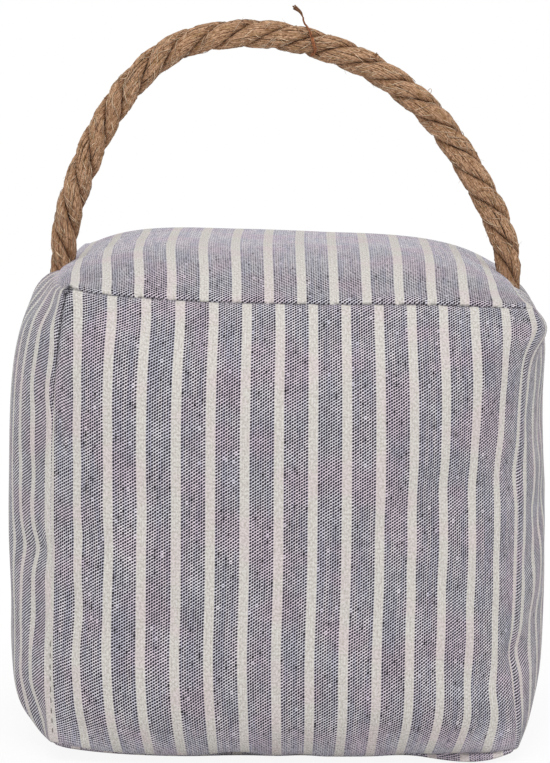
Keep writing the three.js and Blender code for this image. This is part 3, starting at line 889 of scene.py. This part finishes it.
# The yarns of each strand, and its core as the last of them
for strand in range(STRANDS):
    radial, sideways = strand_axes(strand, travelled, backward, outside)
    swell = (1 + meander(travelled, 6, 0.045)) * narrow
    yarns = []
    crevice_shades = []
    for yarn in range(YARNS + 1):
        place = yarn / YARNS + travelled / YARN_TWIST + meander(travelled, 10, 0.012)
        lift = 1 + meander(travelled, 5, 0.03)
        radius = YARN_RADIUS * (1 + spinner.normal(0, 0.1)) * (1 + meander(travelled, 4, 0.13))
        if yarn == YARNS:
            lift = 0 * travelled
            radius = CORE_RADIUS + 0 * travelled
        x, y = on_outline(place)
        away = STRAND_MIDDLE * narrow + x * lift * swell
        centres = line + radial * away[:, None] + sideways * (y * lift * swell)[:, None]
        rings = tube(centres, np.clip(radius, THINNEST_YARN, CORE_RADIUS), YARN_SIDES, yarn)
        yarns.append(rings)
        # Painted shade: the deeper a yarn lies towards the rope's middle, the darker it is painted
        from_middle = np.linalg.norm(rings - line[:, None, :], axis=2)
        crevice_shades.append(np.clip((SHADE_RADIUS - from_middle) / SHADE_DEPTH, 0, 1))
    piece = tubes_mesh("rope_yarns_%d" % (strand + 1), yarns, [travelled] * (YARNS + 1), crevice_shades)
    piece.data.materials.append(jute)
    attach(piece, "root")
    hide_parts("rope_strand_%d" % (strand + 1))


# Loose fibre of the rope
# Short jute hairs stand out of the strands all along the handle, and one longer curl stands
# up at its right.
HAIRS = 90
HAIR_RADIUS = 0.05
HAIR_ROOT = 3.6
LYING_FIBRES = 950
LYING_RADIUS = 0.11
LYING_PROUD = 1.20
LYING_TAPER = np.array([0.5, 0.9, 1.0, 1.0, 0.9, 0.5])
CURL_FOOT = np.array([[47.4, -3.0, 200.0]])
CURL_RADIUS = 0.09
HAIR_BROWN = srgb("64402a")
HAIR_PALE = srgb("e6ccad")

hair_colour, tree, shader = new_material("jute_hair", 0.8, 0.4)
hair_uv = tree.add("UVMap", {"uv_map": "fibre"}).outputs[0]
dye = place_group(tree, uneven, Place=hair_uv, Patch_Scale=0.4, Streak_Scale=3.0,
                  Streak_Stretch=0.2)
tree.feed(shader.inputs["Base Color"],
          tree.mix(tree.ramp(dye["Patches"], 0.35, 0.65), HAIR_BROWN, HAIR_PALE))

hairs = []
hair_lengths = []
for _ in range(HAIRS):
    station = int(spinner.integers(16, rope_stations - 16))
    angle = spinner.uniform(0, 2 * math.pi)
    away = backward[station] * math.cos(angle) + outside[station] * math.sin(angle)
    across = np.cross(ahead[station], away)
    length = spinner.uniform(1.2, 4.0)
    lean = spinner.choice([-1, 1]) * spinner.uniform(0.6, 1.0)
    curl = spinner.normal(0, 0.25)
    along = np.linspace(0, 1, 6)[:, None]
    out = HAIR_ROOT + length * spinner.uniform(0.25, 0.6) * along ** 1.4
    path = (line[station] + away * out + ahead[station] * length * lean * along
            + across * curl * length * along ** 2)
    hairs.append(tube(path, HAIR_RADIUS * (1.2 - along[:, 0] * 0.6), 3))
    hair_lengths.append(np.linspace(0, length, 6))
for _ in range(LYING_FIBRES):
    strand = int(spinner.integers(0, STRANDS))
    length = spinner.uniform(2.0, 6.0)
    first = spinner.uniform(6, handle_length - 8 - length)
    walk = first + np.linspace(0, length, 6)
    middle = np.stack([np.interp(walk, travelled, line[:, k]) for k in range(3)], axis=1)
    out = np.stack([np.interp(walk, travelled, outside[:, k]) for k in range(3)], axis=1)
    radial, sideways = strand_axes(strand, walk, backward[:1], out)
    place = spinner.uniform(-0.26, 0.26) + (walk - first) / YARN_TWIST * spinner.normal(0.3, 1.1)
    proud = LYING_PROUD + 0.06 * np.sin(np.linspace(0, math.pi, 6)) + spinner.normal(0, 0.02)
    x, y = on_outline(place)
    squeezed = np.interp(walk, travelled, narrow)
    away = (STRAND_MIDDLE + x * proud) * squeezed
    path = middle + radial * away[:, None] + sideways * (y * proud * squeezed)[:, None]
    hairs.append(tube(path, LYING_RADIUS * LYING_TAPER, 4))
    hair_lengths.append(walk - first)
curl_turn = np.linspace(0, 1.5 * math.pi, 12)[:, None]
curl_path = (CURL_FOOT + np.array([[0.6, 0, 0.3]]) * (1 - np.cos(curl_turn))
             + np.array([[0.1, -0.2, 1.0]]) * np.sin(curl_turn) * 0.9)
hairs.append(tube(curl_path, np.full(12, CURL_RADIUS), 4))
hair_lengths.append(np.linspace(0, 6, 12))
fuzz = tubes_mesh("rope_fibres", hairs, hair_lengths)
fuzz.data.materials.append(hair_colour)
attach(fuzz, "root")


# The loose yarn
# One brown yarn has worked out of a groove low on the front of the handle. It lies up over
# the strands, stands clear of the top and ends in a frayed brush. Two more ends just show.
LOOSE_YARN = ((11.0, -3.6, 211.6), (12.0, -5.0, 213.2), (11.6, -5.7, 215.3), (10.7, -5.0, 218.4),
              (9.7, -2.9, 220.4), (8.5, -1.9, 222.1), (8.3, -1.8, 223.6))
BRUSH_FOOT = (8.35, -1.8, 223.3)
BRUSH_TIPS = ((5.0, -1.8, 227.1), (5.6, -2.1, 227.4), (5.2, -1.4, 226.3), (6.0, -1.6, 227.0),
              (5.3, -2.0, 226.8))
STUBS = ((31.3, -3.4, 211.7), (-53.7, -3.4, 198.0))
PLIES = 3
PLY_RADIUS = 0.36
PLY_LAY = 5
THINNED = 0.6
YARN_BROWN = srgb("57331f")
YARN_RED = srgb("a86c48")
YARN_WORN = srgb("5d4c38")

brown, tree, shader = new_material("brown_yarn", 0.8, 0.4)
brown_uv = tree.add("UVMap", {"uv_map": "fibre"}).outputs[0]
dye = place_group(tree, uneven, Place=brown_uv, Patch_Scale=0.5, Streak_Scale=5.0,
                  Streak_Stretch=0.15)
# The map has 3 to a tube, so the plies lie below this and the brush and stubs above it
worn_end = tree.math("GREATER_THAN", tree.add("SeparateXYZ", Vector=brown_uv).outputs[0],
                     3 * PLIES - 0.5)
reddish = tree.mix(tree.ramp(dye["Streaks"], 0.38, 0.62), YARN_BROWN, YARN_RED)
tree.feed(shader.inputs["Base Color"],
          tree.mix(tree.math("MULTIPLY", worn_end, 0.5), reddish, YARN_WORN))

loose_line, loose_length = centripetal(np.array(LOOSE_YARN), 26)
loose_walk = np.linspace(0, loose_length, 26)
ply_radius = PLY_RADIUS * (1 - THINNED * loose_walk / loose_length)
loose = []
loose_walks = []
for ply in range(PLIES):
    turn = 2 * math.pi * ply / PLIES + 2 * math.pi * loose_walk / PLY_LAY
    circle = np.stack([np.cos(turn), np.sin(turn), 0 * turn], axis=1)
    loose.append(tube(loose_line + circle * ply_radius[:, None], ply_radius, 6))
    loose_walks.append(loose_walk)
for number, tip in enumerate(BRUSH_TIPS):
    foot = np.array(BRUSH_FOOT)
    bulge = np.array([0.22 * number - 0.1, 0.12 * number - 0.24, 0.75 - 0.22 * number])
    tip_line, tip_length = centripetal([foot, (foot + tip) / 2 + bulge, tip], 9)
    loose.append(tube(tip_line, np.linspace(0.14, 0.27, 9), 5))
    loose_walks.append(np.linspace(0, tip_length, 9))
for middle in STUBS:
    for lean in (-0.5, 0.1, 0.6):
        stub = np.array([middle, (middle[0] + lean, middle[1] - 0.1, middle[2] + 1.0 - abs(lean))])
        loose.append(tube(stub, [0.26, 0.16], 5))
        loose_walks.append(np.array([0.0, 1.0]))
loose_piece = tubes_mesh("loose_yarn", loose, loose_walks)
loose_piece.data.materials.append(brown)
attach(loose_piece, "root")


# The sewing thread
# The seams are sewn with short dark stitches. They sink into the cloth and show best on the
# cream stripe low on the left front seam.
STITCH_LENGTH = 1.6
STITCH_PITCH = 3.6
STITCH_RADIUS = 0.14
# Stitches stand this far out of the cloth where they show, over this length, and sink elsewhere
SHOWN = 0.08
SHOWN_LENGTH = 33
SUNK = -0.14
THREAD_DARK = srgb("4a4742")
THREAD_PALE = srgb("77726a")
SEWN = (("left front base", "left front top"), ("right front base", "right front top"),
        ("left back base", "left back top"), ("right back base", "right back top"),
        ("left front top", "right front top"), ("left back top", "right back top"),
        ("left front top", "left back top"), ("right front top", "right back top"))

cotton, tree, shader = new_material("sewing_thread", 0.7, 0.4)
cotton_uv = tree.add("UVMap", {"uv_map": "fibre"}).outputs[0]
dye = place_group(tree, uneven, Place=cotton_uv, Patch_Scale=0.8, Streak_Scale=4.0,
                  Streak_Stretch=0.2)
tree.feed(shader.inputs["Base Color"],
          tree.mix(tree.ramp(dye["Streaks"], 0.38, 0.62), THREAD_DARK, THREAD_PALE))

stitches = []
stitch_lengths = []
for start_corner, end_corner in SEWN:
    reach = np.linalg.norm(corner(end_corner) - corner(start_corner))
    for first in np.arange(4, reach - 5, STITCH_PITCH):
        stitch = np.linspace(first, first + STITCH_LENGTH, 4)
        seam = seam_points(start_corner, end_corner, stitch / reach) + SHIFT
        touched = [cover.closest_point_on_mesh(Vector(p * MM)) for p in seam]
        shows = start_corner == "left front base" and first < SHOWN_LENGTH
        proud = SHOWN if shows else SUNK
        path = np.array([(hit + normal * proud * MM) / MM for _, hit, normal, _ in touched])
        stitches.append(tube(path, STITCH_RADIUS, 5))
        stitch_lengths.append(stitch)
seam_thread = tubes_mesh("seam_thread", stitches, stitch_lengths)
seam_thread.data.materials.append(cotton)
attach(seam_thread, "root")


# The floor and the light
# A plain white floor takes only a soft shadow. The light is a white room with one broad lamp
# above and in front, so that a colour shows about as it is written.
FLOOR_REACH = 3
FLOOR_DROP = 0.0002
# Under the bag the floor is seen a little less than white, from 0.09 to 0.2 m off its middle
NEAR_WHITENESS = 0.91
ROOM_STRENGTH = 0.80
LAMP_PLACE = Vector((0.0, -1.15, 1.5))
LAMP_AIM = Vector((0, 0, 0.1))
LAMP_SIZE = 0.9
LAMP_WATTS = 12


def seen_plainly(tree):
    """1 where the camera sees a surface straight, in a gloss or through glass."""
    seen = tree.add("LightPath").outputs
    clear = tree.math("MAXIMUM", seen["Is Camera Ray"], seen["Is Glossy Ray"])
    return tree.math("MAXIMUM", clear, seen["Is Transmission Ray"])


def blended(tree, output, share, first, second):
    """Feeds the surface with the first shader where the share is 0 and the second where it is 1."""
    blend = tree.add("MixShader")
    for socket, value in zip(blend.inputs, (share, first.outputs[0], second.outputs[0])):
        tree.feed(socket, value)
    tree.feed(output.inputs["Surface"], blend.outputs[0])


floor_mesh = bpy.data.meshes.new("floor")
floor_corners = [(x * FLOOR_REACH, y * FLOOR_REACH, 0) for x, y in ((-1, -1), (1, -1), (1, 1), (-1, 1))]
floor_mesh.from_pydata(floor_corners, [], [(0, 1, 2, 3)])
floor = bpy.data.objects.new("floor", floor_mesh)
floor.location.z = -FLOOR_DROP
bpy.context.scene.collection.objects.link(floor)
floor_paint = bpy.data.materials.new("floor")
floor_paint.use_nodes = True
tree = Tree(floor_paint.node_tree)
matt = tree.add("BsdfDiffuse", Color=(0.9, 0.9, 0.9, 1))
glow = tree.add("Emission", Color=(1, 1, 1, 1), Strength=1.0)
from_bag = tree.add("VectorMath", {"operation": "LENGTH"})
tree.feed(from_bag.inputs[0], tree.add("NewGeometry").outputs["Position"])
brighter = tree.math("MULTIPLY", tree.ramp(from_bag.outputs["Value"], 0.09, 0.2), 1 - NEAR_WHITENESS)
whiteness = tree.math("ADD", NEAR_WHITENESS, brighter)
blended(tree, floor_paint.node_tree.nodes["Material Output"],
        tree.math("MULTIPLY", seen_plainly(tree), whiteness), matt, glow)
floor_mesh.materials.append(floor_paint)

world = bpy.data.worlds.new("room")
bpy.context.scene.world = world
world.use_nodes = True
tree = Tree(world.node_tree)
room = tree.add("Background", Color=(1, 1, 1, 1), Strength=ROOM_STRENGTH)
white = tree.add("Background", Color=(1, 1, 1, 1), Strength=1.0)
world_output = next(node for node in world.node_tree.nodes if node.type == "OUTPUT_WORLD")
blended(tree, world_output, seen_plainly(tree), room, white)

lamp = bpy.data.lights.new("key", "AREA")
lamp.size = LAMP_SIZE
lamp.energy = LAMP_WATTS
lamp_object = bpy.data.objects.new("key", lamp)
lamp_object.location = LAMP_PLACE
lamp_object.rotation_euler = (LAMP_AIM - LAMP_PLACE).to_track_quat("-Z", "Y").to_euler()
bpy.context.scene.collection.objects.link(lamp_object)

bpy.context.scene.view_settings.view_transform = "Standard"
